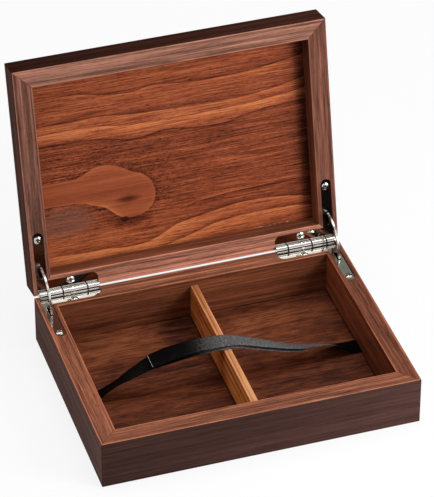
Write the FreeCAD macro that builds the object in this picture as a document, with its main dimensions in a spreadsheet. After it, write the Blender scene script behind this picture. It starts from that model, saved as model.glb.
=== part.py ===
import FreeCAD, Part
import os
import re

import Sketcher
from FreeCAD import Rotation, Vector

# Driving sizes in millimetres and degrees.
SIZES = {
    # Case of the box, with mitred walls
    "box_width": 165.0,
    "box_depth": 123.0,
    "base_height": 26.5,
    "lid_height": 14.6,
    "wall_thickness": 10.0,
    "corner_round": 0.4,
    "rim_round": 0.4,
    # Floor and lid panels, let into rebates of the walls
    "floor_thickness": 3.8,
    "floor_rebate": 3.0,
    "lid_panel_thickness": 4.5,
    "lid_rebate": 2.5,
    "panel_clearance": 0.2,
    # Divider between the two compartments
    "divider_thickness": 3.8,
    "divider_height": 19.1,
    "divider_round": 0.3,
    # Swing of the lid about the hinge axis
    "closed_gap": 0.3,
    "axis_setback": 0.3,
    "open_angle": 102.8,
    # Hinge leaves: a back leg beside the barrel and a side leg along the side wall
    "leaf_edge": 2.4,
    "leaf_end": 34.6,
    "leaf_thickness": 1.2,
    "back_leg_reach": 7.4,
    "leaf_corner": 3.0,
    "leg_width": 5.4,
    "leg_reach": 34.5,
    "recess_clearance": 0.15,
    # Barrel of four knuckles on a pin, joints measured from the side face
    "barrel_radius": 2.25,
    "barrel_clearance": 0.3,
    "outer_joint": 7.1,
    "middle_joint": 15.2,
    "inner_joint": 28.2,
    "knuckle_gap": 0.15,
    "pin_radius": 0.9,
    "bore_clearance": 0.05,
    # Stay arm: an arc bar about the hinge axis with a stop pin across each end
    "arm_thickness": 0.9,
    "arm_width": 1.7,
    "arm_clearance": 0.4,
    "arm_overhang_angle": 14.3,
    "arm_base_angle": 80.8,
    "lid_skin": 2.0,
    "slot_length": 7.5,
    "stop_pin_radius": 0.5,
    "stop_pin_length": 3.2,
    "stop_pin_clearance": 0.02,
    "stop_gap": 0.1,
    # Round-headed screws with a cross recess
    "leg_screw_inset": 4.2,
    "back_screw_side": 20.3,
    "back_screw_inset": 2.2,
    "screw_head_radius": 2.1,
    "screw_head_height": 0.7,
    "screw_shank_radius": 0.9,
    "screw_length": 8.0,
    "screw_tip_length": 1.8,
    "screw_tip_radius": 0.15,
    "screw_clearance": 0.05,
    "cross_width": 0.5,
    "cross_length": 2.4,
    "cross_depth": 0.45,
    # Lift ribbon of two sewn lengths
    "ribbon_width": 10.0,
    "ribbon_thickness": 0.4,
    "ribbon_clearance": 0.3,
}

# Sizes worked out from the driving ones.
DERIVED = {
    "half_width": "box_width / 2",
    "half_depth": "box_depth / 2",
    "inner_half_width": "half_width - wall_thickness",
    "inner_half_depth": "half_depth - wall_thickness",
    "lid_bottom": "base_height + closed_gap",
    "lid_top": "lid_bottom + lid_height",
    "divider_top": "floor_thickness + divider_height",
    "axis_back": "half_depth + axis_setback",
    "axis_height": "base_height + closed_gap / 2",
    "leaf_face": "barrel_radius - leaf_thickness",
    "leg_centre": "leaf_edge + leg_width / 2",
    "leg_screw_back": "leg_reach - leg_screw_inset",
    "back_screw_back": "back_leg_reach - back_screw_inset",
    "arm_lid_angle": "open_angle + 2 * arm_overhang_angle - arm_base_angle",
    "arm_lid_room": "lid_height + closed_gap / 2 - lid_skin - arm_clearance",
    "arm_outer": "arm_lid_room / sin(arm_lid_angle)",
    "arm_inner": "arm_outer - arm_width",
    "arm_radius": "arm_outer - arm_width / 2",
    "arm_span": "open_angle + 2 * arm_overhang_angle",
    "stop_angle": "asin((barrel_radius + stop_pin_radius + stop_gap) / arm_radius) / 1 deg",
    "mortise_width": "stop_pin_length + 2 * recess_clearance + arm_clearance",
    "mortise_front": "arm_outer + arm_clearance",
    "head_dome": "(screw_head_radius ^ 2 + screw_head_height ^ 2) / (2 * screw_head_height)",
}

SIDES = ("left", "right")
MEMBERS = ("base", "lid")

doc = FreeCAD.newDocument("hinged_box")
sheet = doc.addObject("Spreadsheet::Sheet", "Dims")
ALIASES = list(SIZES) + list(DERIVED)
for row, alias in enumerate(ALIASES, start=1):
    content = str(SIZES[alias]) if alias in SIZES else "=" + DERIVED[alias]
    sheet.set(f"A{row}", alias)
    sheet.set(f"B{row}", content)
    sheet.setAlias(f"B{row}", alias)
doc.recompute()


def size(alias):
    """The value of a size, as a plain number."""
    return float(sheet.get(alias))


def bind(thing, prop, formula):
    """Tie a property to a formula on the names of sizes."""
    def full_name(word):
        return f"Dims.{word[0]}" if word[0] in ALIASES else word[0]

    thing.setExpression(prop, re.sub(r"[a-z][a-z_]+", full_name, formula))


def from_side(side, near, far):
    """Span in X between two distances from the left or right side face."""
    if side == "left":
        return f"({near}) - half_width", f"({far}) - half_width"
    return f"half_width - ({far})", f"half_width - ({near})"


def from_back(near, far):
    """Span in Y between two distances from the back face."""
    return f"half_depth - ({far})", f"half_depth - ({near})"


def ahead_of_axis(near, far):
    """Span in Y between two distances in front of the hinge axis."""
    return f"axis_back - ({far})", f"axis_back - ({near})"


def off_axis(member, near, far):
    """Span in Z between two distances from the hinge axis, into the base or the closed lid."""
    if member == "base":
        return f"axis_height - ({far})", f"axis_height - ({near})"
    return f"axis_height + ({near})", f"axis_height + ({far})"


def middle(span):
    """Formula for the middle of a span."""
    return f"(({span[0]}) + ({span[1]})) / 2"


def block(name, x, y, z):
    """Box between two formulas on each axis."""
    box = doc.addObject("Part::Box", name)
    for axis, edge, (low, high) in zip("xyz", ("Length", "Width", "Height"), (x, y, z)):
        bind(box, f"Placement.Base.{axis}", low)
        bind(box, edge, f"({high}) - ({low})")
    return box


def post(name, radius, x, y, z):
    """Upright cylinder over a span in Z."""
    cylinder = doc.addObject("Part::Cylinder", name)
    bind(cylinder, "Radius", radius)
    bind(cylinder, "Height", f"({z[1]}) - ({z[0]})")
    for axis, place in zip("xyz", (x, y, z[0])):
        bind(cylinder, f"Placement.Base.{axis}", place)
    return cylinder


def rod(name, radius, x, y="axis_back", z="axis_height"):
    """Cylinder along X over a span, on the hinge axis unless placed elsewhere."""
    cylinder = doc.addObject("Part::Cylinder", name)
    cylinder.Placement.Rotation = Rotation(Vector(0, 1, 0), 90)
    bind(cylinder, "Radius", radius)
    bind(cylinder, "Height", f"({x[1]}) - ({x[0]})")
    for axis, place in zip("xyz", (x[0], y, z)):
        bind(cylinder, f"Placement.Base.{axis}", place)
    return cylinder


def fuse(name, pieces):
    joined = doc.addObject("Part::MultiFuse", name)
    joined.Shapes = pieces
    joined.Refine = True
    return joined


def common(name, first, second):
    shared = doc.addObject("Part::Common", name)
    shared.Base = first
    shared.Tool = second
    return shared


def cut(name, base, tools):
    """Cut tools from a base one after another."""
    result = base
    for number, tool in enumerate(tools, start=1):
        step = doc.addObject("Part::Cut", f"{name}_cut_{number}")
        step.Base = result
        step.Tool = tool
        step.Refine = True
        result = step
    return result


def group(name, pieces):
    """Separate solids under one name."""
    compound = doc.addObject("Part::Compound", name)
    compound.Links = pieces
    return compound


def swing_open(thing):
    """Turn a piece of the closed lid about the hinge axis to the open stop."""
    thing.Placement.Rotation = Rotation(Vector(-1, 0, 0), 1)
    bind(thing, "Placement.Rotation.Angle", "open_angle")
    bind(thing, "Placement.Base.y",
         "axis_back - axis_back * cos(open_angle) - axis_height * sin(open_angle)")
    bind(thing, "Placement.Base.z",
         "axis_height + axis_back * sin(open_angle) - axis_height * cos(open_angle)")


nodes = {}


def finish(node, thing, member="base"):
    """Name a finished sub-part, and swing it open if the lid carries it."""
    if member == "lid":
        swing_open(thing)
    thing.Label = node
    nodes[node] = thing


def origin_feature(body, role):
    return next(item for item in body.Origin.OriginFeatures if item.Role == role)


def rectangle(body, name, width, depth, level="0"):
    """Sketch of a rectangle about the Z axis, at a level above the origin."""
    sketch = body.newObject("Sketcher::SketchObject", name)
    sketch.AttachmentSupport = [(origin_feature(body, "XY_Plane"), "")]
    sketch.MapMode = "FlatFace"
    bind(sketch, "AttachmentOffset.Base.z", level)
    corners = [Vector(-1, -1, 0), Vector(1, -1, 0), Vector(1, 1, 0), Vector(-1, 1, 0)]
    for first, second in zip(corners, corners[1:] + corners[:1]):
        sketch.addGeometry(Part.LineSegment(first, second), False)
    for side in range(4):
        sketch.addConstraint(Sketcher.Constraint("Coincident", side, 2, (side + 1) % 4, 1))
    for side, direction in enumerate(("Horizontal", "Vertical") * 2):
        sketch.addConstraint(Sketcher.Constraint(direction, side))
    sketch.addConstraint(Sketcher.Constraint("Symmetric", 0, 1, 1, 2, -1, 1))
    for side, length in ((0, width), (1, depth)):
        place = sketch.addConstraint(Sketcher.Constraint("Distance", side, 2.0))
        bind(sketch, f"Constraints[{place}]", length)
    return sketch


def slab(name, width, depth, z):
    """Body padded from a rectangle over a span in Z."""
    body = doc.addObject("PartDesign::Body", name)
    pad = body.newObject("PartDesign::Pad", f"{name}_pad")
    pad.Profile = rectangle(body, f"{name}_outline", width, depth, z[0])
    bind(pad, "Length", f"({z[1]}) - ({z[0]})")
    doc.recompute()
    return body


def round_edges(body, name, radius, chosen):
    """Fillet the edges of a body whose middle point passes a test."""
    base = body.Tip
    edges = [f"Edge{number}" for number, edge in enumerate(base.Shape.Edges, start=1)
             if chosen(edge.CenterOfMass)]
    fillet = body.newObject("PartDesign::Fillet", name)
    fillet.Base = (base, edges)
    bind(fillet, "Radius", radius)
    doc.recompute()


# Four-sided frames with rounded outer edges and a softened inner rim, later sawn at the mitres.
def frame(member, z, rim):
    body = slab(f"{member}_frame", "box_width", "box_depth", z)
    opening = body.newObject("PartDesign::Pocket", f"{member}_frame_opening")
    opening.Profile = rectangle(body, f"{member}_frame_inside", "2 * inner_half_width",
                                "2 * inner_half_depth", z[0])
    opening.Reversed = True
    bind(opening, "Length", f"({z[1]}) - ({z[0]})")
    doc.recompute()
    inside = Vector(size("inner_half_width"), size("inner_half_depth"), size(rim))
    tolerance = size("rim_round") / 4

    def is_inside(middle_point):
        return (abs(middle_point.x) < inside.x + tolerance
                and abs(middle_point.y) < inside.y + tolerance)

    def on_rim(middle_point):
        return is_inside(middle_point) and abs(middle_point.z - inside.z) < tolerance

    round_edges(body, f"{member}_frame_corners", "corner_round", lambda point: not is_inside(point))
    round_edges(body, f"{member}_frame_rim", "rim_round", on_rim)
    return body


def mitred_piece(name, length, z, quarter_turns, reach):
    """Wedge over one wall, with its outer face at a distance from the middle and mitred ends."""
    wedge = doc.addObject("Part::Wedge", name)
    wedge.Placement.Rotation = Rotation(Vector(0, 0, 1), 90 * quarter_turns)
    for prop, formula in (("Xmin", f"-({length}) / 2"), ("Xmax", f"({length}) / 2"),
                          ("X2min", f"wall_thickness - ({length}) / 2"),
                          ("X2max", f"({length}) / 2 - wall_thickness"),
                          ("Ymin", f"-({reach})"), ("Ymax", f"wall_thickness - ({reach})"),
                          ("Zmin", z[0]), ("Zmax", z[1]), ("Z2min", z[0]), ("Z2max", z[1])):
        bind(wedge, prop, formula)
    return wedge


# Hinge pocket: leaf recess, barrel channel, arm mortise and screw holes, cut from the walls.
def leaf_outline(name, side, z, margin):
    """Plate of a leaf's outline over a span in Z, grown by a margin."""
    edge = f"leaf_edge - {margin}"
    reach = f"back_leg_reach + {margin}"
    end = f"leaf_end + {margin}"
    leg_far = f"leaf_edge + leg_width + {margin}"
    leg_end = "leg_reach - leg_width / 2"
    corner = f"leaf_corner + {margin}"
    behind = "-axis_setback"
    leg = from_side(side, edge, leg_far)
    corner_x = from_side(side, f"{end} - ({corner})", f"{end} - ({corner})")[0]
    pieces = [
        block(f"{name}_back_leg", from_side(side, edge, f"{end} - ({corner})"), from_back(behind, reach), z),
        block(f"{name}_back_leg_end", from_side(side, edge, end),
              from_back(behind, f"{reach} - ({corner})"), z),
        post(f"{name}_corner", corner, corner_x, f"half_depth - ({reach}) + ({corner})", z),
        block(f"{name}_side_leg", leg, from_back(behind, leg_end), z),
        post(f"{name}_leg_end", f"leg_width / 2 + {margin}", middle(leg), f"half_depth - ({leg_end})", z),
    ]
    return fuse(f"{name}_outline", pieces)


def screw_places(side):
    """Places in X and Y of the two screws of a leaf."""
    leg_x = from_side(side, "leg_centre", "leg_centre")[0]
    back_x = from_side(side, "back_screw_side", "back_screw_side")[0]
    return (leg_x, "half_depth - leg_screw_back"), (back_x, "half_depth - back_screw_back")


def hinge_pocket(member, side):
    name = f"{side}_{member}_pocket"
    arm_angle = "arm_base_angle" if member == "base" else "arm_lid_angle"
    mortise = from_side(side, "leg_centre - mortise_width / 2", "leg_centre + mortise_width / 2")
    channel = from_side(side, "leaf_edge - recess_clearance", "leaf_end + recess_clearance")
    shank = off_axis(member, "0", "leaf_face + screw_length + screw_clearance")
    pieces = [
        leaf_outline(f"{name}_leaf", side, off_axis(member, "0", "barrel_radius"), "recess_clearance"),
        rod(f"{name}_barrel", "barrel_radius + barrel_clearance", channel),
        block(f"{name}_mortise", mortise,
              ahead_of_axis(f"arm_inner * cos({arm_angle}) - arm_clearance", "mortise_front"),
              off_axis(member, "0", f"arm_outer * sin({arm_angle}) + arm_clearance")),
    ]
    for number, (x, y) in enumerate(screw_places(side), start=1):
        pieces.append(post(f"{name}_pilot_{number}", "screw_shank_radius + screw_clearance", x, y, shank))
    return fuse(name, pieces)


# Mitred walls and the panel of the base and of the lid.
def case(member, z, rim, panel, rebate):
    walls = frame(member, z, rim)
    room_x = (f"-(inner_half_width + {rebate})", f"inner_half_width + {rebate}")
    room_y = (f"-(inner_half_depth + {rebate})", f"inner_half_depth + {rebate}")
    panel_room = block(f"{member}_rebate", room_x, room_y, panel)
    pockets = {side: hinge_pocket(member, side) for side in SIDES}
    layout = (("front", 0, "box_width", "half_depth", []),
              ("right", 1, "box_depth", "half_width", [pockets["right"]]),
              ("back", 2, "box_width", "half_depth", [pockets["left"], pockets["right"]]),
              ("left", 3, "box_depth", "half_width", [pockets["left"]]))
    for place, quarter_turns, length, reach, tools in layout:
        node = f"{member}_{place}_wall"
        wedge = mitred_piece(f"{node}_wedge", length, z, quarter_turns, reach)
        sawn = common(f"{node}_sawn", walls, wedge)
        finish(node, cut(node, sawn, [panel_room] + tools), member)
    fitted = f"{rebate} - panel_clearance"
    return slab(f"{member}_panel_board", f"2 * (inner_half_width + {fitted})",
                f"2 * (inner_half_depth + {fitted})", panel)


floor_panel = case("base", ("0", "base_height"), "base_height", ("0", "floor_thickness"), "floor_rebate")
finish("base_floor_panel", floor_panel)
lid_panel = case("lid", ("lid_bottom", "lid_top"), "lid_bottom",
                 ("lid_top - lid_panel_thickness", "lid_top"), "lid_rebate")
finish("lid_panel", lid_panel, "lid")

# Divider standing on the floor between the front and back walls, with its top edges eased.
divider = slab("divider_board", "divider_thickness", "2 * inner_half_depth",
               ("floor_thickness", "divider_top"))
top_level = size("divider_top") - size("divider_round")
long_edge = size("divider_thickness") / 4
round_edges(divider, "divider_edges", "divider_round",
            lambda point: point.z > top_level and abs(point.x) > long_edge)
finish("divider", divider)


# Hinge leaves: L-shaped plates with two knuckles each, a slot for the arm and two screw holes.
KNUCKLES = {
    "base": (("leaf_edge", "outer_joint - knuckle_gap"),
             ("middle_joint + knuckle_gap", "inner_joint - knuckle_gap")),
    "lid": (("outer_joint + knuckle_gap", "middle_joint - knuckle_gap"),
            ("inner_joint + knuckle_gap", "leaf_end")),
}
FREE_SPANS = {
    "base": (("outer_joint - knuckle_gap", "middle_joint + knuckle_gap"),
             ("inner_joint - knuckle_gap", "leaf_end + knuckle_gap")),
    "lid": (("leaf_edge - knuckle_gap", "outer_joint + knuckle_gap"),
            ("middle_joint - knuckle_gap", "inner_joint + knuckle_gap")),
}


def leaf(member, side):
    node = f"{side}_{member}_leaf"
    thickness = off_axis(member, "leaf_face", "barrel_radius")
    plate = leaf_outline(node, side, thickness, "0")
    through = off_axis(member, "0", "2 * barrel_radius")
    rooms = [rod(f"{node}_room_{number}", "barrel_radius + barrel_clearance", from_side(side, *span))
             for number, span in enumerate(FREE_SPANS[member], start=1)]
    rings = [rod(f"{node}_knuckle_{number}", "barrel_radius", from_side(side, *span))
             for number, span in enumerate(KNUCKLES[member], start=1)]
    bore = rod(f"{node}_bore", "pin_radius + bore_clearance",
               from_side(side, "leaf_edge - leaf_thickness", "leaf_end + leaf_thickness"))
    slot = block(f"{node}_slot",
                 from_side(side, "leg_centre - arm_thickness / 2 - arm_clearance",
                           "leg_centre + arm_thickness / 2 + arm_clearance"),
                 ahead_of_axis("mortise_front - slot_length", "mortise_front"), through)
    holes = [post(f"{node}_hole_{number}", "screw_shank_radius + screw_clearance", x, y, through)
             for number, (x, y) in enumerate(screw_places(side), start=1)]
    cleared = cut(f"{node}_plate", plate, rooms)
    joined = fuse(f"{node}_joined", [cleared] + rings)
    finish(node, cut(node, joined, [bore, slot] + holes), member)


# Screws: domed heads with a cross recess on a pointed shank.
def screw(name, member, x, y):
    up = "-" if member == "base" else "+"
    face = f"axis_height {up} leaf_face"
    dome_centre = f"{face} {up} (head_dome - screw_head_height)"
    ball = doc.addObject("Part::Sphere", f"{name}_ball")
    bind(ball, "Radius", "head_dome")
    for axis, place in zip("xyz", (x, y, dome_centre)):
        bind(ball, f"Placement.Base.{axis}", place)
    head_room = post(f"{name}_head_room", "2 * screw_head_radius", x, y, off_axis(member, "0", "leaf_face"))
    head = common(f"{name}_head", ball, head_room)
    shank = post(f"{name}_shank", "screw_shank_radius", x, y,
                 off_axis(member, "leaf_face", "leaf_face + screw_length - screw_tip_length"))
    tip = doc.addObject("Part::Cone", f"{name}_tip")
    tip_span = off_axis(member, "leaf_face + screw_length - screw_tip_length", "leaf_face + screw_length")
    radii = ("screw_tip_radius", "screw_shank_radius")
    for prop, radius in zip(("Radius1", "Radius2") if member == "base" else ("Radius2", "Radius1"), radii):
        bind(tip, prop, radius)
    bind(tip, "Height", "screw_tip_length")
    for axis, place in zip("xyz", (x, y, tip_span[0])):
        bind(tip, f"Placement.Base.{axis}", place)
    solid = fuse(f"{name}_solid", [head, shank, tip])
    depth = off_axis(member, "0", "leaf_face - screw_head_height + cross_depth")
    halves = ("cross_length / 2", "cross_width / 2")
    arms = [block(f"{name}_cross_{number}", (f"({x}) - {half_x}", f"({x}) + {half_x}"),
                  (f"({y}) - {half_y}", f"({y}) + {half_y}"), depth)
            for number, (half_x, half_y) in enumerate((halves, halves[::-1]), start=1)]
    return cut(name, solid, arms)


# Stay arms: arc bars about the hinge axis, each with a stop pin through both ends.
def stay_arm(side):
    node = f"{side}_stay_arm"
    body = doc.addObject("PartDesign::Body", f"{node}_bar")
    sketch = rectangle(body, f"{node}_section", "arm_thickness", "arm_width")
    bind(sketch, "AttachmentOffset.Base.y", "-arm_radius")
    bar = body.newObject("PartDesign::Revolution", f"{node}_arc")
    bar.Profile = sketch
    bar.ReferenceAxis = (origin_feature(body, "X_Axis"), [""])
    bar.Reversed = True
    bind(bar, "Angle", "arm_span")
    body.Placement.Rotation = Rotation(Vector(1, 0, 0), 1)
    bind(body, "Placement.Rotation.Angle", "arm_overhang_angle")
    x_middle = from_side(side, "leg_centre", "leg_centre")[0]
    for axis, place in zip("xyz", (x_middle, "axis_back", "axis_height")):
        bind(body, f"Placement.Base.{axis}", place)
    doc.recompute()
    pin_span = from_side(side, "leg_centre - stop_pin_length / 2", "leg_centre + stop_pin_length / 2")
    pins = []
    holes = []
    for end, angle in (("base", "-stop_angle"), ("lid", "open_angle + stop_angle")):
        y = f"axis_back - arm_radius * cos({angle})"
        z = f"axis_height + arm_radius * sin({angle})"
        pins.append(rod(f"{side}_{end}_stop_pin", "stop_pin_radius", pin_span, y, z))
        holes.append(rod(f"{side}_{end}_stop_hole", "stop_pin_radius + stop_pin_clearance", pin_span, y, z))
    finish(node, cut(node, body, holes))
    finish(f"{side}_stay_pins", group(f"{side}_stop_pins", pins))


for side in SIDES:
    finish(f"{side}_hinge_pin", rod(f"{side}_pin", "pin_radius", from_side(side, "leaf_edge", "leaf_end")))
    stay_arm(side)
    for member in MEMBERS:
        leaf(member, side)
        screws = [screw(f"{side}_{member}_screw_{number}", member, x, y)
                  for number, (x, y) in enumerate(screw_places(side), start=1)]
        finish(f"{side}_{member}_leaf_screws", group(f"{side}_{member}_screws", screws), member)

# Lift ribbon of two lengths, one laid over the other and sewn to it. A station has a place from the
# left wall (-1) over the divider (0) to the right wall (1), a height from the floor (0) to the divider's
# top (1) over a ribbon that lies there, and the upward tilt of the ribbon's front edge in degrees.
LOWER_STATIONS = (
    (-0.993, 0.016, 2.0),
    (-0.897, 0.152, 18.0),
    (-0.786, 0.387, 24.0),
    (-0.717, 0.524, 15.0),
    (-0.634, 0.675, 8.0),
    (-0.545, 0.822, 0.0),
    (-0.386, 0.932, -5.0),
    (-0.234, 0.995, -2.0),
    (-0.083, 1.0, 0.0),
    (0.036, 1.003, 0.0),
    (0.166, 0.822, 6.0),
    (0.338, 0.565, 11.0),
    (0.497, 0.346, 20.0),
    (0.579, 0.277, 27.0),
)
UPPER_STATIONS = (
    (-0.552, 0.848, 0.0),
    (-0.414, 0.979, -6.0),
    (-0.234, 1.079, -2.0),
    (-0.11, 1.089, 2.0),
    (0.0, 1.068, 3.0),
    (0.11, 0.979, 7.0),
    (0.297, 0.707, 12.0),
    (0.421, 0.524, 17.0),
    (0.545, 0.372, 27.0),
    (0.669, 0.309, 36.0),
    (0.779, 0.215, 38.0),
    (0.855, 0.079, 18.0),
    (0.924, -0.01, 3.0),
    (0.993, -0.016, 0.0),
)


def ribbon(stations, layer):
    """Thin strip through tilted cross-sections, each square to the route."""
    half_width = size("ribbon_width") / 2
    half_thickness = size("ribbon_thickness") / 2
    lift = size("ribbon_clearance") + size("ribbon_thickness") * layer + half_thickness
    laid = size("floor_thickness") + lift
    places = [Vector(size("inner_half_width") * run, 0, laid + size("divider_height") * rise)
              for run, rise, tilt in stations]
    sections = []
    for number, place in enumerate(places):
        along = places[min(number + 1, len(places) - 1)] - places[max(number - 1, 0)]
        along.normalize()
        across = Rotation(along, -stations[number][2]).multVec(Vector(0, 1, 0)) * half_width
        outward = along.cross(across).normalize() * -half_thickness
        corners = [place + across + outward, place - across + outward,
                   place - across - outward, place + across - outward]
        sections.append(Part.makePolygon(corners + corners[:1]))
    return Part.makeLoft(sections, True, True)


RIBBONS = (("ribbon_lower", LOWER_STATIONS), ("ribbon_upper", UPPER_STATIONS))
for layer, (node, stations) in enumerate(RIBBONS):
    strip = doc.addObject("Part::Feature", f"{node}_strip")
    strip.Shape = ribbon(stations, layer)
    finish(node, strip)

doc.recompute()
for thing in doc.Objects:
    if "Invalid" in thing.State or "Error" in thing.State:
        raise RuntimeError(f"{thing.Label} failed: {thing.State}")
for node, thing in nodes.items():
    if thing.Shape.isNull() or not thing.Shape.isValid():
        raise RuntimeError(f"{node} has no valid shape")

os.makedirs("parts", exist_ok=True)
for node, thing in nodes.items():
    thing.Shape.exportStep(f"parts/{node}.step")
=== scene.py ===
import math

import bpy
import bmesh
from mathutils import Matrix, Vector


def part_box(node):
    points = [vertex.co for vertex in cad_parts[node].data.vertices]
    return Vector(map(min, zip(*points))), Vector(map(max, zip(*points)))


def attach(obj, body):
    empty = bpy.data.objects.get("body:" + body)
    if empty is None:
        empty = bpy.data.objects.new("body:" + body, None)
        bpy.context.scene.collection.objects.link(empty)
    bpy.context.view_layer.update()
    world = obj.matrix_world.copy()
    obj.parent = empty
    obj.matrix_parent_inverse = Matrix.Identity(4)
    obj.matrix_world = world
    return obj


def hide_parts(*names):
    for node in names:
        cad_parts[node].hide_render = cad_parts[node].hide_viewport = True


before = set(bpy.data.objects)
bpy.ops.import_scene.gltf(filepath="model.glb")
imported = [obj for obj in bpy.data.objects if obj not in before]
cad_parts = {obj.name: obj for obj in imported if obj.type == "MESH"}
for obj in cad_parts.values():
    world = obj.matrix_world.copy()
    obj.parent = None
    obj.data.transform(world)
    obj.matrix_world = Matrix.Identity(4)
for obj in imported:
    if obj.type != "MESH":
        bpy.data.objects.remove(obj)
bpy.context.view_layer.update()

# Base walls: four walnut boards, mitred and glued at the corners and rebated for the floor.
# The grain runs along each board. The outside is stained nearly black, while the rim and the inside
# keep the colour of the wood under a satin varnish.


class Wire:
    """A socket in a node tree. Sums on it add Math nodes to the tree."""

    def __init__(self, tree, socket=None):
        self.tree = tree
        self.socket = socket

    def node(self, kind, settings=None, sockets=None, output=0):
        """Adds a node: first its settings, then the values or links of its sockets."""
        made = self.tree.nodes.new(kind)
        for name, value in (settings or {}).items():
            if name == "stops":
                elements = made.color_ramp.elements
                while len(elements) < len(value):
                    elements.new(1.0)
                for element, (place, colour) in zip(elements, value):
                    element.position = place
                    element.color = (*colour, 1.0)
            elif name == "points":
                curve = made.mapping.curves[0]
                for place, height in value[1:-1]:
                    curve.points.new(place, height)
                for point, spot in zip(curve.points, value):
                    point.location = spot
                made.mapping.update()
            else:
                setattr(made, name, value)
        for name, value in (sockets or {}).items():
            if isinstance(value, Wire):
                self.tree.links.new(value.socket, made.inputs[name])
            else:
                made.inputs[name].default_value = value
        return Wire(self.tree, made.outputs[output] if made.outputs else None)

    def math(self, operation, *values):
        return self.node("ShaderNodeMath", {"operation": operation}, dict(enumerate(values)))

    def __add__(self, other):
        return self.math("ADD", self, other)

    def __radd__(self, other):
        return self.math("ADD", other, self)

    def __sub__(self, other):
        return self.math("SUBTRACT", self, other)

    def __rsub__(self, other):
        return self.math("SUBTRACT", other, self)

    def __mul__(self, other):
        return self.math("MULTIPLY", self, other)

    def __rmul__(self, other):
        return self.math("MULTIPLY", other, self)

    def __truediv__(self, other):
        return self.math("DIVIDE", self, other)

    def __pow__(self, other):
        return self.math("POWER", self, other)

    def __abs__(self):
        return self.math("ABSOLUTE", self)

    def ramp(self, low, high, smooth=True):
        """0 below low to 1 above high; falls instead of rises where high is the smaller."""
        curve = "SMOOTHSTEP" if smooth else "LINEAR"
        return self.node("ShaderNodeMapRange", {"interpolation_type": curve},
                         {"Value": self, "From Min": low, "From Max": high})

    def colours(self, *stops):
        return self.node("ShaderNodeValToRGB", {"stops": stops}, {0: self})

    def mix(self, other, share):
        """This colour, with a share of another."""
        return self.node("ShaderNodeMix", {"data_type": "RGBA"}, {0: share, 6: self, 7: other}, 2)

    def scaled(self, *factors):
        return self.node("ShaderNodeVectorMath", {"operation": "MULTIPLY"}, {0: self, 1: factors})

    def noise(self, detail=2.0, roughness=0.5, distortion=0.0):
        return self.node("ShaderNodeTexNoise", {}, {"Vector": self, "Scale": 1.0, "Detail": detail,
                                                    "Roughness": roughness, "Distortion": distortion})

    def part(self, axis):
        return self.node("ShaderNodeSeparateXYZ", {}, {0: self}, "XYZ".index(axis))


def shade(red, green, blue):
    """A colour named by its levels on screen, as the linear levels that Blender mixes."""
    return tuple((level / 255) ** 2.2 for level in (red, green, blue))


def finish(name, **constants):
    """A material with a Principled shader, as the wire to build its nodes on."""
    material = bpy.data.materials.new(name)
    material.use_nodes = True
    shader = material.node_tree.nodes["Principled BSDF"]
    for socket, value in constants.items():
        shader.inputs[socket.replace("_", " ")].default_value = value
    return material, Wire(material.node_tree)


def apply(wire, **sockets):
    """Links wires to the sockets of a material's Principled shader."""
    shader = wire.tree.nodes["Principled BSDF"]
    for socket, value in sockets.items():
        wire.tree.links.new(value.socket, shader.inputs[socket.replace("_", " ")])


def dress(name, material):
    """Gives a CAD node its finish."""
    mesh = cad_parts[name].data
    mesh.materials.clear()
    mesh.materials.append(material)


def mm(metres):
    """A size of the frame in millimetres."""
    return round(metres * 1000, 3)


# Sizes of the box in mm. The hinge line lies behind the back wall, midway in the gap of the shut lid.
HALF_WIDTH = mm(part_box("base_right_wall")[1].x)
HALF_DEPTH = mm(-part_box("base_front_wall")[0].y)
RIM_LEVEL = mm(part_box("base_front_wall")[1].z)
WALL = 10.0
CLOSED_GAP = 0.3
LID_HEIGHT = 14.6
LID_TOP = RIM_LEVEL + CLOSED_GAP + LID_HEIGHT
OPEN_TURN = math.radians(102.8)
HINGE_SET = 0.3
HINGE_LINE = Vector((0, HALF_DEPTH + HINGE_SET, RIM_LEVEL + CLOSED_GAP / 2))


def shut_place(wire, lid):
    """Place on the shut box in millimetres."""
    place = wire.node("ShaderNodeTexCoord", {}, {}, "Object")
    turn = Matrix.Rotation(OPEN_TURN, 3, "X") if lid else Matrix.Identity(3)
    shift = HINGE_LINE - turn @ HINGE_LINE
    return wire.node("ShaderNodeMapping", {}, {"Vector": place, "Location": shift,
                                               "Rotation": (OPEN_TURN if lid else 0, 0, 0),
                                               "Scale": (1000, 1000, 1000)})


def board_grain(place, along, band, fibre, seed):
    """Broad bands, fibres and pores of straight walnut whose grain runs along one axis."""
    def stretched(length, width):
        return place.node("ShaderNodeMapping", {}, {
            "Vector": place, "Location": (seed * 7.3, seed * 3.1, seed * 5.7),
            "Scale": [1 / length if axis == along else 1 / width for axis in "XYZ"]})

    bands = stretched(190, band).noise(3, 0.55, 0.6)
    fibres = stretched(22, fibre).noise(4, 0.65)
    pores = stretched(4, 0.3).noise(1).ramp(0.58, 0.72)
    return bands, fibres, pores


def walnut(red, green, blue, spread=1.0):
    """Tones of wood about a middle colour, from its pores to its palest streaks."""
    return [shade(*(level * (1 + step * spread) for level in (red, green, blue)))
            for step in (-0.38, -0.1, 0.1, 0.36)]


def grain_bump(wire, fibres, pores):
    """The faint relief of raised fibres and open pores."""
    return wire.node("ShaderNodeBump", {}, {"Strength": 0.16, "Distance": 0.00012,
                                            "Height": fibres - pores * 0.8})


TONE_PLACES = (0.12, 0.4, 0.6, 0.88)
# How much paler a board is painted along its axis, for each mm, as painted light and shade: its stained
# outside and its inner face.
LIGHT_DRIFT_ALONG = {"X": (0.002, 0.0), "Y": (-0.0015, 0.004)}
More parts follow.
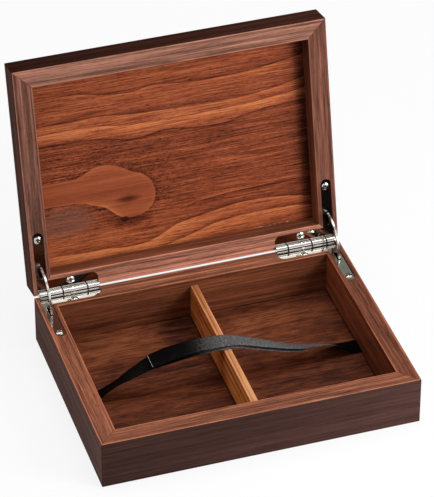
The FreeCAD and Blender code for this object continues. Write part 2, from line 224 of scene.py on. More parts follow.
# Where each change on a wall fades in, in mm from its outer face, from the rim or from the mitre.
STAIN_EDGE = (0.42, 0.16)
OUTER_WEAR_AND_HIGHLIGHT = (1.0, 0.5)
INNER_WEAR_AND_HIGHLIGHT = (WALL - 0.8, WALL - 0.25)
INNER_FACE = (WALL - 0.3, WALL - 0.05)
RIM_BAND = (0.65, 0.2)
MITRE_LINE = (0.24, 0.06)


def wall_finish(name, along, lid, rim, inner, stain, seed):
    """Walnut of one wall, from the tones of its rim, its inner face and its stained outside."""
    material, wire = finish(name, Specular_IOR_Level=0.0, Coat_Roughness=0.3, Coat_IOR=1.45)
    place = shut_place(wire, lid)
    bands, fibres, pores = board_grain(place, along, band=2.6, fibre=0.55, seed=seed)
    tone = 0.5 + (bands - 0.5) * 1.3 + (fibres - 0.5) * 1.5 - pores * 0.2
    to_side = HALF_WIDTH - abs(place.part("X"))
    to_end = HALF_DEPTH - abs(place.part("Y"))
    to_face = to_side.math("MINIMUM", to_side, to_end)
    height = place.part("Z")
    level = RIM_LEVEL + (CLOSED_GAP if lid else 0)
    to_bed = (LID_TOP - height) if lid else height
    outside = to_face.math("MINIMUM", to_face, to_bed).ramp(*STAIN_EDGE)
    within = to_face.ramp(*INNER_FACE)
    arrises = to_face.ramp(*OUTER_WEAR_AND_HIGHLIGHT) * (1 - outside) + to_face.ramp(*INNER_WEAR_AND_HIGHLIGHT)
    # Pale line along the rim's arrises: partly wear, partly a painted highlight of the rounded edges.
    worn_and_highlit = abs(height - level).ramp(*RIM_BAND) * arrises * fibres
    mitre = abs(to_side - to_end).ramp(*MITRE_LINE)
    wood = (tone + worn_and_highlit * 0.9 - mitre * 0.35).colours(*zip(TONE_PLACES, rim))
    # Painted light and shade: the stain and the inner face are painted paler towards the better-lit end
    # of a board.
    stain_light_drift, inside_light_drift = (place.part(along) * slope for slope in LIGHT_DRIFT_ALONG[along])
    wood = wood.mix((tone + inside_light_drift).colours(*zip(TONE_PLACES, inner)), within)
    wood = wood.mix((tone + stain_light_drift - mitre * 0.2).colours(*zip(TONE_PLACES, stain)), outside)
    apply(wire, Base_Color=wood, Roughness=0.44 + fibres * 0.18, Coat_Weight=0.45 - outside * 0.4,
          Normal=grain_bump(wire, fibres, pores))
    return material


# Each wall: its side, the axis of its grain, and the middle tones of its rim, inner face and stain.
# Painted sheen and shade: the stain tones hold the varnish's sheen, most on the left wall, and the right
# wall's inner tone is darkened as painted shade.
BASE_WALLS = (
    ("front", "X", (132, 81, 61), (123, 68, 46), (66, 47, 43)),
    ("right", "Y", (117, 69, 51), (106, 58, 40), (67, 47, 42)),
    ("back", "X", (129, 81, 61), (113, 66, 46), (67, 47, 42)),
    ("left", "Y", (125, 77, 58), (123, 68, 46), (89, 65, 60)))
for seed, (side, along, rim, inner, stain) in enumerate(BASE_WALLS, start=1):
    dress(f"base_{side}_wall", wall_finish(f"base_{side}_walnut", along, False, walnut(*rim, 1.3),
                                           walnut(*inner), walnut(*stain, 0.5), seed))

# Floor: one flat-sawn walnut panel glued into the rebate of the walls, its grain from side to side.
# Its varnish is thin, over wavy smoky streaks, two darker clouds and two clearer places.


def oval(across, depth, x, y, half_length, half_depth):
    """Rough distance in mm to an oval on a board, negative inside it."""
    dx = (across - x) / half_length
    dy = (depth - y) / half_depth
    return ((dx * dx + dy * dy) ** 0.5 - 1) * min(half_length, half_depth)


def patched(tone, across, depth, patches):
    """A tone with oval patches: their places, half sizes and fades in mm, and their changes of tone."""
    for *spot, fade_out, fade_in, change in patches:
        tone = tone + oval(across, depth, *spot).ramp(fade_out, fade_in) * change
    return tone


DIVIDER_HALF = mm(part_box("divider")[1].x)
# Two dark clouds and two clear places, from the middle of the floor.
FLOOR_PATCHES = (
    (-10, 38, 13, 12, 6, -8, -0.3), (44, -13, 32, 13, 6, -8, -0.165),
    (40, 28, 34, 18, 8, -10, 0.14), (-46, 40, 26, 12, 8, -6, 0.2))
FOOT_GLUE_AND_SHADE = (1.3, 0.2)
material, wire = finish("floor_walnut", Specular_IOR_Level=0.12)
place = shut_place(wire, False)
sway = place.scaled(1 / 40, 1 / 22, 1 / 22).noise(1)
waved = wire.node("ShaderNodeVectorMath", {"operation": "ADD"},
                  {0: place, 1: wire.node("ShaderNodeCombineXYZ", {}, {"Y": (sway - 0.5) * 7})})
bands, fibres, pores = board_grain(waved, "X", band=6.0, fibre=0.7, seed=11)
smoke = waved.scaled(1 / 14, 1 / 3.5, 1 / 3.5).noise(4, 0.7, 0.4)
along = place.part("X")
aside = place.part("Y")
to_wall = along.math("MINIMUM", HALF_WIDTH - WALL - abs(along), HALF_DEPTH - WALL - abs(aside))
# Darker along the foot of the walls and the divider: partly a glue line, partly painted shade in the
# corners.
foot = to_wall.math("MINIMUM", to_wall, abs(along) - DIVIDER_HALF).ramp(*FOOT_GLUE_AND_SHADE)
tone = 0.52 + (bands - 0.5) * 0.9 + (smoke - 0.5) * 1.3 + (fibres - 0.5) * 1.3 - pores * 0.26 - foot * 0.4
tone = patched(tone, along, aside, FLOOR_PATCHES)
apply(wire, Base_Color=tone.colours((0.1, shade(42, 20, 13)), (0.4, shade(82, 43, 28)),
                                    (0.64, shade(106, 58, 37)), (0.95, shade(136, 80, 52))),
      Roughness=0.5 + fibres * 0.15, Normal=grain_bump(wire, fibres, pores))
dress("base_floor_panel", material)

# Divider: a thin board of paler, strongly striped wood, glued between the front and back walls.
# The stripes run along it under a satin varnish. Its top is painted paler and less striped than its sides
# as a painted sheen, and the board is painted paler towards the front as painted light.
DIVIDER_TOP = mm(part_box("divider")[1].z)
material, wire = finish("divider_wood", Specular_IOR_Level=0.0, Coat_Weight=0.5, Coat_Roughness=0.3)
place = shut_place(wire, False)
bands, fibres, pores = board_grain(place, "Y", band=1.3, fibre=0.4, seed=19)
# Painted light: paler towards the front end.
paler = place.part("Y").ramp(50, -50, False) - 0.5
tone = 0.55 + (bands - 0.5) * 2.9 + (fibres - 0.5) * 2.2 - pores * 0.12 + paler * 0.35
striped = 0.56 + (tone - 0.5) * 1.4
sides = striped.colours((0.1, shade(112, 54, 27)), (0.4, shade(166, 85, 44)), (0.65, shade(197, 111, 59)),
                        (0.95, shade(230, 148, 84)))
# Painted sheen: the top takes paler, softer tones than the sides.
top_sheen_tone = 0.5 + (tone - 0.5) * 0.75
top = top_sheen_tone.colours((0.1, shade(132, 78, 47)), (0.4, shade(174, 112, 72)), (0.65, shade(197, 132, 88)),
                     (0.95, shade(224, 164, 117)))
on_top = place.part("Z").ramp(DIVIDER_TOP - 0.5, DIVIDER_TOP - 0.15)
apply(wire, Base_Color=sides.mix(top, on_top), Roughness=0.48 + fibres * 0.15,
      Normal=grain_bump(wire, fibres, pores))
dress("divider", material)

# Lift ribbon: two lengths of black satin ribbon, 10 mm wide. One rises from the left wall and one
# from the right wall, and they lie over each other across the divider, sewn where the upper one ends.
RIBBON_WIDTH = 10.0
RIBBON_THICKNESS = 0.3
FLOOR_TOP = mm(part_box("base_floor_panel")[1].z)
COMPARTMENT_REACH = HALF_WIDTH - WALL
DIVIDER_HEIGHT = DIVIDER_TOP - FLOOR_TOP
# The levels of the two lengths where they lie on the floor, one over the other.
LOWER_LAID = FLOOR_TOP + 0.5
UPPER_LAID = LOWER_LAID + 0.4
# Stations of each route: share of the way from the middle to a side wall, share of the divider's height
# above the ribbon's laid level, and tilt in degrees.
LOWER_ROUTE = (
    (-0.993, 0.016, 2), (-0.897, 0.152, 18), (-0.786, 0.387, 24), (-0.717, 0.524, 15), (-0.634, 0.675, 8),
    (-0.545, 0.822, 0), (-0.386, 0.932, -5), (-0.234, 0.995, -2), (-0.083, 1.0, 0), (0.036, 1.003, 0),
    (0.166, 0.822, 6), (0.338, 0.565, 11), (0.497, 0.346, 20), (0.579, 0.277, 27))
UPPER_ROUTE = (
    (-0.552, 0.848, 0), (-0.414, 0.979, -6), (-0.234, 1.079, -2), (-0.11, 1.089, 2), (0.0, 1.068, 3),
    (0.11, 0.979, 7), (0.297, 0.707, 12), (0.421, 0.524, 17), (0.545, 0.372, 24), (0.669, 0.309, 31),
    (0.779, 0.215, 34), (0.855, 0.079, 18), (0.924, -0.01, 3), (0.993, -0.016, 0))
STEPS_ALONG = 10
STEPS_ACROSS = 10


def between(stations, steps):
    """Points on a smooth line through stations, with steps from each one to the next."""
    ends = [Vector(s) for s in (stations[0], *stations, stations[-1])]
    line = []
    for a, b, c, d in zip(ends, ends[1:], ends[2:], ends[3:]):
        for step in range(steps):
            t = step / steps
            line.append(0.5 * (2 * b + (c - a) * t + (2 * a - 5 * b + 4 * c - d) * t ** 2
                               + (3 * b - a - 3 * c + d) * t ** 3))
    return line + [ends[-1]]


def ribbon_strip(name, route, laid):
    """A strip of ribbon mesh with a UV map in metres along and across it, and its length in metres."""
    line = between(route, STEPS_ALONG)
    centres = [Vector((run * COMPARTMENT_REACH, 0, laid + rise * DIVIDER_HEIGHT))
               for run, rise, tilt in line]
    mesh = bmesh.new()
    uv = mesh.loops.layers.uv.new("cloth")
    rows = []
    runs = []
    far = 0.0
    for number, centre in enumerate(centres):
        ahead = centres[min(number + 1, len(centres) - 1)] - centres[max(number - 1, 0)]
        across = Matrix.Rotation(-math.radians(line[number].z), 3, ahead) @ Vector((0, 1, 0))
        if number:
            far += (centre - centres[number - 1]).length
        rows.append([mesh.verts.new((centre + across * RIBBON_WIDTH * (c / STEPS_ACROSS - 0.5)) / 1000)
                     for c in range(STEPS_ACROSS + 1)])
        runs.append(far / 1000)
    for number in range(len(rows) - 1):
        for column in range(STEPS_ACROSS):
            corners = ((number, column), (number + 1, column),
                       (number + 1, column + 1), (number, column + 1))
            face = mesh.faces.new([rows[r][c] for r, c in corners])
            face.smooth = True
            for loop, (r, c) in zip(face.loops, corners):
                loop[uv].uv = (runs[r], RIBBON_WIDTH / 1000 * (c / STEPS_ACROSS - 0.5))
    data = bpy.data.meshes.new(name)
    mesh.to_mesh(data)
    mesh.free()
    strip = bpy.data.objects.new(name, data)
    bpy.context.scene.collection.objects.link(strip)
    thickness = strip.modifiers.new("thickness", "SOLIDIFY")
    thickness.thickness = RIBBON_THICKNESS / 1000
    thickness.offset = 0
    return strip, runs[-1]


# The stretch along the box, in mm, where a sheen of the satin is painted into its colour; past its right
# end the ribbon is painted black as the right wall's shadow.
SHINE_FROM = -24.0
SHINE_TO = 58.0
# Where the selvedge starts, in metres from the ribbon's middle like its UV map.
SELVEDGE = (0.0044, 0.0047)
material, wire = finish("black_satin", Specular_IOR_Level=0.03)
cloth = wire.node("ShaderNodeTexCoord", {}, {}, "UV")
weft = cloth.scaled(1 / 0.0006, 1 / 0.006, 1).noise(1)
warp = cloth.scaled(1 / 0.02, 1 / 0.00035, 1).noise(2)
crease = cloth.scaled(1 / 0.018, 1 / 0.02, 1).noise(2)
selvedge = abs(cloth.part("Y")).ramp(*SELVEDGE)
bump = wire.node("ShaderNodeBump", {}, {"Strength": 0.3, "Distance": 0.00008,
                                        "Height": warp * 0.6 + weft * 0.5 + selvedge * 0.8})
run = shut_place(wire, False).part("X")
# Painted sheen along the stretch, ending in painted shadow by the right wall. The glints of the weave are
# painted highlights, strongest in the sheen, and the creases' light and dark are painted too.
painted_sheen = run.ramp(SHINE_FROM, SHINE_FROM + 26) * run.ramp(SHINE_TO + 4, SHINE_TO - 3)
glint = cloth.scaled(1 / 0.0013, 1 / 0.0009, 1).noise(2, 0.75)
tone = (0.02 + painted_sheen * 0.7 + (crease - 0.5) * 0.3 + (warp - 0.5) * 0.25
        + (glint - 0.5) * (0.3 + painted_sheen * 1.4))
apply(wire, Base_Color=tone.colours((0.0, shade(6, 6, 6)), (0.25, shade(32, 31, 31)),
                                    (0.7, shade(88, 86, 86)), (0.95, shade(112, 110, 110))),
      Roughness=0.44 + warp * 0.16 + selvedge * 0.12, Normal=bump)
satin = material

material, wire = finish("pale_thread", Roughness=0.8, Sheen_Weight=0.2)
twist = shut_place(wire, False).scaled(3, 5, 3).noise(1)
bump = wire.node("ShaderNodeBump", {}, {"Strength": 0.4, "Distance": 0.00005, "Height": twist})
apply(wire, Base_Color=twist.colours((0.3, shade(128, 126, 124)), (0.7, shade(188, 186, 182))),
      Normal=bump)
thread = material


def stitch_row(name, seam, sizes, material):
    """A row of stitches across a seam, by a Geometry Nodes tree that is then made a plain mesh."""
    tree = bpy.data.node_groups.new("stitch_row", "GeometryNodeTree")
    tree.is_modifier = True
    tree.interface.new_socket("Stitches", in_out="OUTPUT", socket_type="NodeSocketGeometry")
    ids = {label: tree.interface.new_socket(label, in_out="INPUT", socket_type=kind).identifier
           for label, kind in (("Count", "NodeSocketInt"), ("Span", "NodeSocketFloat"),
                               ("Length", "NodeSocketFloat"), ("Thickness", "NodeSocketFloat"),
                               ("Seed", "NodeSocketInt"))}
    wire = Wire(tree)
    given = {label: wire.node("NodeGroupInput", {}, {}, label) for label in ids}
    pitch = given["Span"] / (given["Count"] - 1)
    start = wire.node("ShaderNodeCombineXYZ", {}, {"Y": given["Span"] * -0.5})
    offset = wire.node("ShaderNodeCombineXYZ", {}, {"Y": pitch})
    line = wire.node("GeometryNodeMeshLine", {}, {"Count": given["Count"], "Start Location": start,
                                                  "Offset": offset})
    bead = wire.node("GeometryNodeMeshIcoSphere", {}, {"Radius": 0.5, "Subdivisions": 2})
    stretch = wire.node("ShaderNodeCombineXYZ", {}, {"X": given["Thickness"], "Y": given["Length"],
                                                     "Z": given["Thickness"]})
    lean = wire.node("FunctionNodeRandomValue", {"data_type": "FLOAT_VECTOR"},
                     {0: (0, 0, -0.12), 1: (0, 0, 0.2), "Seed": given["Seed"]})
    stitches = wire.node("GeometryNodeInstanceOnPoints", {}, {"Points": line, "Instance": bead,
                                                              "Rotation": lean, "Scale": stretch})
    solid = wire.node("GeometryNodeRealizeInstances", {}, {"Geometry": stitches})
    dyed = wire.node("GeometryNodeSetMaterial", {}, {"Geometry": solid, "Material": material})
    wire.node("NodeGroupOutput", {}, {"Stitches": dyed})
    row = bpy.data.objects.new(name, bpy.data.meshes.new(name))
    bpy.context.scene.collection.objects.link(row)
    modifier = row.modifiers.new("stitches", "NODES")
    modifier.node_group = tree
    for label, value in sizes.items():
        modifier[ids[label]] = value
    made = bpy.data.meshes.new_from_object(row.evaluated_get(bpy.context.evaluated_depsgraph_get()))
    row.modifiers.clear()
    made.transform(seam)
    made.shade_smooth()
    row.data = made
    return row


# How far the seam lies from the end of the upper length, in mm, and its row of stitches, in metres.
SEAM_RUN = 0.8
STITCHES = {"Count": 9, "Span": 0.0086, "Length": 0.00095, "Thickness": 0.0003, "Seed": 4}
seam_slope = math.atan2((UPPER_ROUTE[1][1] - UPPER_ROUTE[0][1]) * DIVIDER_HEIGHT,
                        (UPPER_ROUTE[1][0] - UPPER_ROUTE[0][0]) * COMPARTMENT_REACH)
seam_spot = Vector((UPPER_ROUTE[0][0] * COMPARTMENT_REACH + SEAM_RUN, 0,
                    UPPER_LAID + UPPER_ROUTE[0][1] * DIVIDER_HEIGHT + SEAM_RUN * math.tan(seam_slope)
                    + RIBBON_THICKNESS / 2)) / 1000
seam = Matrix.Translation(seam_spot) @ Matrix.Rotation(-seam_slope, 4, "Y")
seam_stitches = stitch_row("seam_stitches", seam, STITCHES, thread)
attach(seam_stitches, "base")
for node, route, laid, sewn in (("ribbon_lower", LOWER_ROUTE, LOWER_LAID, []),
                                ("ribbon_upper", UPPER_ROUTE, UPPER_LAID, [seam_stitches])):
    strip, length = ribbon_strip(f"{node}_satin", route, laid)
    strip.data.materials.append(satin)
    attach(strip, "base")
    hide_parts(node)

# Lid walls: mitred walnut boards like those of the base, but shallower, with the panel let in at the top.
# The rim is pinker than the base's, and its front and back rails are painted palest as a painted sheen of
# their grain.
LID_INSIDE = walnut(110, 65, 47)
LID_WALLS = (
    ("front", "X", (131, 90, 75), (61, 38, 32)),
    ("right", "Y", (102, 65, 53), (66, 43, 37)),
    ("back", "X", (153, 101, 83), (60, 36, 30)),
    ("left", "Y", (112, 75, 63), (73, 46, 39)))
for seed, (side, along, rim, stain) in enumerate(LID_WALLS, start=21):
    dress(f"lid_{side}_wall", wall_finish(f"lid_{side}_walnut", along, True, walnut(*rim, 1.1),
                                          LID_INSIDE, walnut(*stain, 0.7), seed))

# Lid panel: one flat-sawn walnut board glued into the lid's rebate, its grain from side to side.
# Its inside shows wavy growth rings that part around a pale tongue with a small knot below it,
# and its outside is stained like the walls.
PANEL_WIDTH = 2 * (HALF_WIDTH - WALL)
PANEL_DEPTH = 2 * (HALF_DEPTH - WALL)
# Each ring: the change of tone where it ends and where the next one starts, how far each of them fades,
# where the line begins, and the line itself, in mm from the left and from the front edge of the panel.
GROWTH_RINGS = (
    (-0.42, 0.1, 1.5, 4.0, 12, (
        (0, 11.5), (27, 12.5), (41, 14.6), (55, 15.2), (65, 14.0), (82, 15.2), (104, 15.6), (125, 14.2),
        (145, 10.4))),
    (-0.3, 0.24, 1.4, 3.0, -50, (
        (0, 26), (24, 26), (36, 25.6), (50, 27.4), (74, 28.8), (104, 28.6), (124, 27.6), (145, 23.6))),
    (-0.16, 0.34, 0.8, 3.6, -50, (
        (0, 30.6), (31, 30.6), (47, 32.8), (73, 33.6), (98, 33.4), (125, 32.2), (145, 29.2))),
    (-0.06, -0.5, 1.2, 1.1, -50, (
        (0, 37), (16, 36.4), (30, 36.9), (41, 38.8), (51, 40.4), (70, 39.0), (88, 40.8), (100, 41.2),
        (113, 38), (145, 35.6))),
    (0.22, -0.34, 0.9, 2.0, 78, (
        (0, 94), (30, 93), (58, 88), (74, 83.6), (88, 81.2), (108, 79.6), (126, 78.8), (145, 78.9))),
    (-0.3, 0.36, 2.0, 3.4, 5, (
        (0, 98.8), (30, 98.9), (53, 99.4), (61, 97.2), (70, 93.2), (80, 90.6), (93, 88.1), (112, 87),
        (130, 87.9), (145, 90.2))),
    (-0.36, 0.3, 1.6, 3.4, 60, (
        (0, 110), (40, 109), (62, 103.4), (70, 101.2), (80, 98.8), (93, 95.6), (110, 93.6), (128, 93.8),
        (145, 95.2))))
# The tongue: a neck from the left edge, and two lobes with their places, half sizes and blends.
NECK_DEPTH = 64
NECK_HALF = 6.6
NECK_END = 22
TONGUE_LOBES = ((34, 63.5, 15, 10.6, 5.0), (48.2, 71.8, 13.0, 11.8, 10.0))
# A smudge on the tongue, the knot below it and the dark halo about the knot.
PANEL_PATCHES = (
    (46.6, 73.2, 3.6, 1.1, 1.6, -0.9, -0.4), (44, 83.8, 1.3, 1.0, 0.9, -0.3, -0.75),
    (48, 85.4, 7.5, 2.4, 1.6, -1.2, -0.3))
material, wire = finish("lid_panel_walnut", Specular_IOR_Level=0.0, Coat_Roughness=0.3, Coat_IOR=1.45)
place = shut_place(wire, True)
sway = place.scaled(1 / 26, 1 / 9, 1 / 9).noise(2)
across = place.part("X") + PANEL_WIDTH / 2
depth = place.part("Y") + PANEL_DEPTH / 2 + (sway - 0.5) * 2.2


def fading(distance, reach):
    """1 at a line, fading out over a reach to one side of it."""
    return distance.math("EXPONENT", distance.math("MAXIMUM", distance, 0.0) / -reach)


tongue = abs(depth - NECK_DEPTH) - NECK_HALF + across.math("MAXIMUM", across - NECK_END, 0.0)
for *lobe, blend in TONGUE_LOBES:
    tongue = tongue.math("SMOOTH_MIN", tongue, oval(across, depth, *lobe), blend)
inside = tongue.ramp(0.25, -0.25)
bands, fibres, pores = board_grain(place, "X", band=5.0, fibre=0.6, seed=31)
dashes = place.scaled(1 / 3.4, 1 / 0.5, 1 / 0.5).noise(2, 0.65, 0.6).ramp(0.53, 0.64)
flecks = place.scaled(1 / 2.6, 1 / 0.8, 1 / 0.8).noise(2, 0.6, 1.5).ramp(0.46, 0.64)
ruffled = (1 - inside) * (fading(tongue, 14.0) + depth.ramp(36, 46) * depth.ramp(86, 70) * 0.35)
figure = (fibres - 0.5) * 1.6 - dashes * 0.2 - pores * 0.24
# Painted shade: the tone darkens towards the right edge, in the shadow of the lid's right wall.
tone = (0.48 + (bands - 0.5) * 0.5 + figure * (1 - inside * 0.72) + depth.ramp(44, 32) * 0.07
        + depth.ramp(82, 91) * (0.22 - across.ramp(60, 110) * 0.12) - across.ramp(120, 138) * 0.07
        - ruffled * flecks * 0.3)
for dark, pale, dark_reach, pale_reach, begin, line in GROWTH_RINGS:
    points = [(x / PANEL_WIDTH, y / PANEL_DEPTH) for x, y in line]
    ring = wire.node("ShaderNodeFloatCurve", {"points": points}, {"Value": across / PANEL_WIDTH})
    past = depth - ring * PANEL_DEPTH
    after = past.ramp(-0.22, 0.22)
    change = after * pale * fading(past, pale_reach) + (1 - after) * dark * fading(past * -1, dark_reach)
    tone = tone + change * across.ramp(begin - 12, begin + 12)
haze = oval(across, depth, 11, 80, 15, 8).ramp(4, -4) * (1 - inside)
tone = (tone + inside * (0.04 + fading(tongue * -1, 1.0) * 0.14)
        - (1 - inside) * fading(tongue, 1.3) * 0.18)
lip = inside * fading(tongue * -1, 2.5) * depth.ramp(68, 76) * across.ramp(52, 38)
# Painted shade of the lid's right wall along the panel's right edge.
right_wall_shade = across.ramp(PANEL_WIDTH - 5, PANEL_WIDTH - 0.5) * (0.5 + sway)
tone = patched(tone + lip * 0.22 - right_wall_shade * 0.4, across, depth, PANEL_PATCHES)
chipped = (depth.ramp(PANEL_DEPTH - 1.0, PANEL_DEPTH - 0.4)
           * across.ramp(110, 117) * across.ramp(135, 130)
           * place.scaled(1 / 2.2, 1, 1).noise(2).ramp(0.5, 0.62))
wood = tone.colours((0.0, shade(58, 29, 20)), (0.28, shade(106, 54, 36)), (0.48, shade(136, 70, 46)),
                    (0.68, shade(162, 88, 55)), (0.95, shade(196, 116, 73)))
wood = wood.mix((*shade(118, 86, 74), 1), haze * 0.45).mix((*shade(206, 172, 146), 1), chipped * 0.7)
outside = place.part("Z").ramp(LID_TOP - 0.5, LID_TOP - 0.2)
wood = wood.mix(tone.colours(*zip(TONE_PLACES, walnut(66, 43, 37, 0.8))), outside)
apply(wire, Base_Color=wood, Roughness=0.45 + fibres * 0.15, Coat_Weight=0.3 - outside * 0.25,
      Normal=grain_bump(wire, fibres, pores))
dress("lid_panel", material)

# Hinges: two quadrant hinges of bright-plated steel, let into the rims of base and lid and screwed down.
# Each has two leaves with two knuckles each, a pin through them, and a stay arm that slides
# through slots in both leaves.
BARREL_RADIUS = 2.25
# From the side of the box, in mm: the joints between the knuckles, and the inner edge of a leaf's leg.
KNUCKLE_JOINTS = (7.1, 15.2, 28.2)
LEG_EDGE = 7.8
LEG_REFLECTION_TONE = (*shade(92, 86, 78), 1)
GRIME_AND_SHADE = (*shade(34, 28, 24), 1)
JOINT_TONE = (*shade(24, 20, 18), 1)


def plated(name, darkest, palest, dullness, ripple, dull_legs_and_reflection=0.0):
    """Bright plating with soft arrises, faint ripples, dull scuffs, and grime with painted shade in the
    corners.
    """
    material, wire = finish(name, Metallic=1.0)
    place = shut_place(wire, False)
    scuff = place.scaled(1 / 2.2, 1 / 2.2, 1 / 2.2).noise(3, 0.6)
    behind = place.part("Y") - HINGE_LINE.y
    above = place.part("Z") - HINGE_LINE.z
    on_barrel = ((behind * behind + above * above) ** 0.5).ramp(BARREL_RADIUS + 0.3, BARREL_RADIUS + 0.1)
    arris = wire.node("ShaderNodeBevel", {"samples": 4}, {"Radius": 0.0002})
    bump = wire.node("ShaderNodeBump", {}, {"Strength": ripple, "Distance": 0.0001, "Height": scuff,
                                            "Normal": arris})
    open_air = wire.node("ShaderNodeAmbientOcclusion", {"samples": 8}, {"Distance": 0.0022}, "AO")
    from_side = HALF_WIDTH - abs(place.part("X"))
    nearest = abs(from_side - KNUCKLE_JOINTS[0])
    for joint in KNUCKLE_JOINTS[1:]:
        nearest = nearest.math("MINIMUM", nearest, abs(from_side - joint))
    # The flat legs are duller, and their colour is darkened as a painted dark reflection.
    flat = from_side.ramp(LEG_EDGE + 0.4, LEG_EDGE) * (1 - on_barrel) * dull_legs_and_reflection
    metal = scuff.colours((0.3, shade(*darkest)), (0.7, shade(*palest))).mix(LEG_REFLECTION_TONE, flat)
    # Grime and painted shade in the crevices and hollows, under the barrel and between the leaves.
    metal = metal.mix(GRIME_AND_SHADE, open_air.ramp(0.56, 0.2))
    metal = metal.mix(JOINT_TONE, nearest.ramp(0.5, 0.25) * on_barrel)
    apply(wire, Base_Color=metal, Roughness=dullness + flat * 0.14 + scuff.ramp(0.5, 0.75) * 0.06,
          Normal=bump)
    return material


leaf_plate = plated("bright_plate", (230, 225, 216), (250, 247, 241), dullness=0.03, ripple=0.02,
                    dull_legs_and_reflection=0.6)
arm_plate = plated("polished_arm", (206, 204, 199), (230, 228, 223), dullness=0.24, ripple=0.03)
screw_plate = plated("screw_plate", (190, 187, 181), (228, 225, 219), dullness=0.1, ripple=0.15)
for side in ("left", "right"):
    for piece, plate in (("base_leaf", leaf_plate), ("lid_leaf", leaf_plate), ("hinge_pin", arm_plate),
                         ("stay_arm", arm_plate), ("stay_pins", arm_plate),
                         ("base_leaf_screws", screw_plate), ("lid_leaf_screws", screw_plate)):
        dress(f"{side}_{piece}", plate)

# Studio: a white floor and white surround, a large soft lamp above, one to the right, one to the left,
# and a small one low at the front right corner. Black cards and one grey card, which only reflections
# show, lie and stand about the box and give the plating its dark bands.


def seen_ray(wire):
    """1 for rays that come from the camera straight, by a mirror or through glass."""
    camera_ray, glossy_ray, clear_ray = (
        wire.node("ShaderNodeLightPath", {}, {}, name)
        for name in ("Is Camera Ray", "Is Glossy Ray", "Is Transmission Ray"))
    return wire.math("MAXIMUM", wire.math("MAXIMUM", camera_ray, glossy_ray), clear_ray)


def studio_card(name, material, size, spot, turn=0.0):
    """A card on the stage, its size across and along, flat on the floor unless turned up about X."""
    mesh = bmesh.new()
    turned = Matrix.Translation(spot) @ Matrix.Rotation(turn, 4, "X")
    bmesh.ops.create_grid(mesh, x_segments=1, y_segments=1, size=0.5,
                          matrix=turned @ Matrix.Diagonal((*size, 1, 1)))
    data = bpy.data.meshes.new(name)
    mesh.to_mesh(data)
    mesh.free()
    data.materials.append(material)
    card = bpy.data.objects.new(name, data)
    bpy.context.scene.collection.objects.link(card)
    return card


material = bpy.data.materials.new("studio_white")
material.use_nodes = True
material.node_tree.nodes.clear()
wire = Wire(material.node_tree)
paper = wire.node("ShaderNodeBsdfDiffuse", {}, {"Color": (0.86, 0.86, 0.86, 1)})
white = wire.node("ShaderNodeEmission", {}, {"Color": (1, 1, 1, 1), "Strength": 1.0})
surface = wire.node("ShaderNodeMixShader", {}, {0: seen_ray(wire) * 0.85, 1: paper, 2: white})
wire.node("ShaderNodeOutputMaterial", {}, {"Surface": surface})
studio_card("studio_floor", material, (12, 12), (0, 0, 0))

UPRIGHT = math.radians(90)
felt, wire = finish("black_felt", Base_Color=(0.004, 0.004, 0.004, 1), Roughness=1.0,
                    Specular_IOR_Level=0.0)
# The grey card glows by its own light, though it is no lamp, and only reflections see it.
grey, wire = finish("glowing_grey_card", Base_Color=(0, 0, 0, 1), Specular_IOR_Level=0.0,
                    Emission_Color=(0.9, 1.0, 0.92, 1), Emission_Strength=0.4)
# Each card: its name, material, size, place and turn.
CARDS = (
    ("floor_flag", felt, (1.0, 1.0), (0.1, -0.6, 0.002), 0.0),
    ("side_flag", felt, (0.5, 0.5), (0.345, -0.05, 0.003), 0.0),
    ("front_flag", felt, (1.2, 0.5), (0.1, -1.1, 0.25), UPRIGHT),
    ("back_flag", felt, (1.4, 0.9), (0.2, 0.7, 0.0), UPRIGHT),
    ("back_card", grey, (1.4, 0.7), (0.2, 0.7, 0.8), UPRIGHT),
    ("zenith_flag", felt, (1.6, 0.3), (0.2, -0.05, 0.95), 0.0),
    ("high_flag", felt, (1.6, 0.42), (0.2, -0.7, 0.95), 0.0))
for details in CARDS:
    card = studio_card(*details)
    card.visible_camera = False
    card.visible_diffuse = False
    card.visible_shadow = False
    card.visible_transmission = False

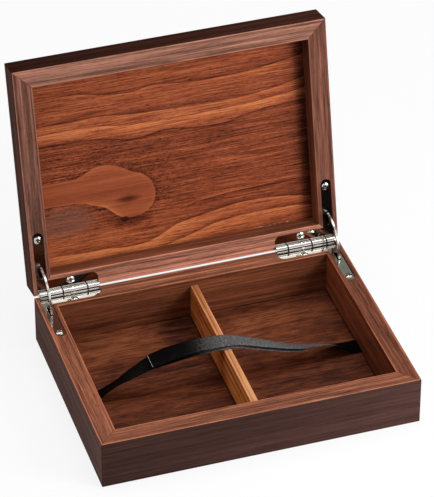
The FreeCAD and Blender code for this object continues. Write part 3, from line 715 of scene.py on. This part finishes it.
world = bpy.data.worlds.new("studio_surround")
bpy.context.scene.world = world
world.use_nodes = True
world.node_tree.nodes.clear()
wire = Wire(world.node_tree)
light = wire.node("ShaderNodeBackground", {}, {"Color": (1, 1, 1, 1),
                                               "Strength": 0.25 + seen_ray(wire) * 0.75})
wire.node("ShaderNodeOutputWorld", {}, {"Surface": light})

LAMP_AIM = Vector((0, 0, 0.03))
# Each lamp: its name, place, size, power in watts, and whether reflections show it.
LAMPS = (
    ("top_lamp", (0.2, 0.15, 1.4), 0.9, 9.0, True),
    ("right_lamp", (0.6, -0.56, 0.56), 0.4, 5.8, True),
    ("corner_lamp", (0.26, -0.26, 0.06), 0.08, 0.6, False),
    ("left_lamp", (-1.2, 0.0, 0.7), 0.9, 4.0, True))
for name, spot, size, watts, reflected in LAMPS:
    lamp = bpy.data.lights.new(name, "AREA")
    lamp.size = size
    lamp.energy = watts
    holder = bpy.data.objects.new(name, lamp)
    holder.location = spot
    holder.rotation_mode = "QUATERNION"
    holder.rotation_quaternion = (LAMP_AIM - Vector(spot)).to_track_quat("-Z", "Y")
    holder.visible_glossy = reflected
    bpy.context.scene.collection.objects.link(holder)

# Camera: a long lens that looks down at the open box from its front left.
# Its place, its directions and its focal length were fitted to the box's corners in the photo.
PHOTO_HEIGHT = 497
FOCAL_PIXELS = 3230.6
SENSOR = 36
EYE = Vector((-0.394289, -1.215705, 1.029412))
RIGHTWARD = Vector((0.952061851, -0.305905359, -0.000377625))
UPWARD = Vector((0.18237476, 0.56660862, 0.80355094))
camera = bpy.data.objects.new("camera", bpy.data.cameras.new("camera"))
camera.data.sensor_width = SENSOR
camera.data.lens = SENSOR * FOCAL_PIXELS / PHOTO_HEIGHT
camera.data.clip_start = 0.05
camera.data.clip_end = 30
facing = Matrix((RIGHTWARD, UPWARD, RIGHTWARD.cross(UPWARD))).transposed()
camera.matrix_world = Matrix.Translation(EYE) @ facing.to_4x4()
bpy.context.scene.collection.objects.link(camera)
bpy.context.scene.camera = camera
bpy.context.scene.view_settings.view_transform = "Standard"
